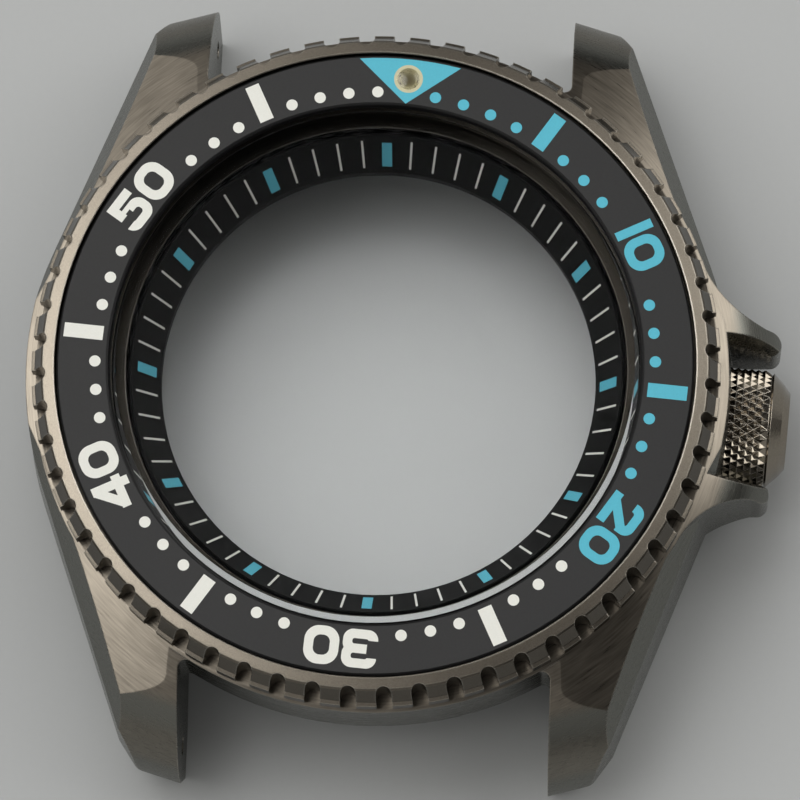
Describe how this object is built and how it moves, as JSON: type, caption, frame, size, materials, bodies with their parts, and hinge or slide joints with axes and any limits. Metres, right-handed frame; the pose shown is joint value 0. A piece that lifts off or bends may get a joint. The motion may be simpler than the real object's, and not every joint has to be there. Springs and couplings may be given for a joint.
{
  "type": "empty watch case",
  "caption": "Empty case of a diver's watch with four lugs, a notched turning bezel with a minute insert, crystal, sloping chapter ring and knurled screw-down crown.",
  "frame": {"origin": "on the case axis, in the plane of the case-back land", "axes": "+Z towards the crystal, +Y to 12 o'clock, +X to 3 o'clock, beside the crown"},
  "size_m": [0.0462, 0.0482, 0.0132],
  "materials": {
    "case_steel": "gunmetal coated steel, brushed tops and polished bevels",
    "bezel_steel": "gunmetal coated steel, sandblasted rim",
    "insert_black": "matt black anodised",
    "adhesive": "adhesive film",
    "blue_lume": "matt luminous paint",
    "white_lume": "matt luminous paint",
    "pearl_lume": "matt luminous paint",
    "pearl_glass": "clear cap",
    "crystal_glass": "clear crystal",
    "gasket_black": "black nylon",
    "rubber_black": "black rubber",
    "spring_steel": "plain steel",
    "chapter_black": "satin black lacquer",
    "blue_print": "printed paint",
    "white_print": "printed paint",
    "crown_steel": "gunmetal coated steel, knurled"
  },
  "bodies": {
    "case": {"mid_case": "case_steel", "crown_tube": "spring_steel", "crown_tube_seal": "rubber_black", "crystal": "crystal_glass", "crystal_gasket": "gasket_black", "bezel_gasket": "rubber_black", "case_back_gasket": "rubber_black", "bezel_click_spring": "spring_steel", "click_spring_pins": "spring_steel", "chapter_ring": "chapter_black", "chapter_five_minute_marks": "blue_print", "chapter_minute_marks": "white_print"},
    "turning_bezel": {"bezel": "bezel_steel", "bezel_insert": "insert_black", "insert_adhesive": "adhesive", "insert_blue_marks": "blue_lume", "insert_white_marks": "white_lume", "lume_pearl": "pearl_lume", "pearl_cap": "pearl_glass"},
    "crown_carrier": {"crown_washer": "spring_steel", "crown_spring": "spring_steel"},
    "crown": {"crown_cap": "crown_steel", "crown_gasket": "rubber_black", "crown_retainer": "spring_steel"},
    "stem_post": {"crown_post": "spring_steel"}
  },
  "joints": [
    {"name": "bezel_turn", "type": "hinge", "parent": "case", "child": "turning_bezel", "pos_m": [0, 0, 0.0106], "axis": [0, 0, 1], "continuous": true},
    {"name": "crown_travel", "type": "slide", "parent": "case", "child": "crown_carrier", "axis": [0.9983, -0.0576, 0], "range_m": [0, 0.00122]},
    {"name": "crown_turn", "type": "hinge", "parent": "crown_carrier", "child": "crown", "pos_m": [0.02196, -0.00127, 0.003], "axis": [0.9983, -0.0576, 0], "range_deg": [0, 1260]},
    {"name": "post_push", "type": "slide", "parent": "crown", "child": "stem_post", "axis": [0.9983, -0.0576, 0], "range_m": [0, 0.0003], "deforming": ["crown_spring"]}
  ],
  "couplings": [
    {"joint": "crown_turn", "follows": "crown_travel", "rad_per_m": 17952}
  ]
}
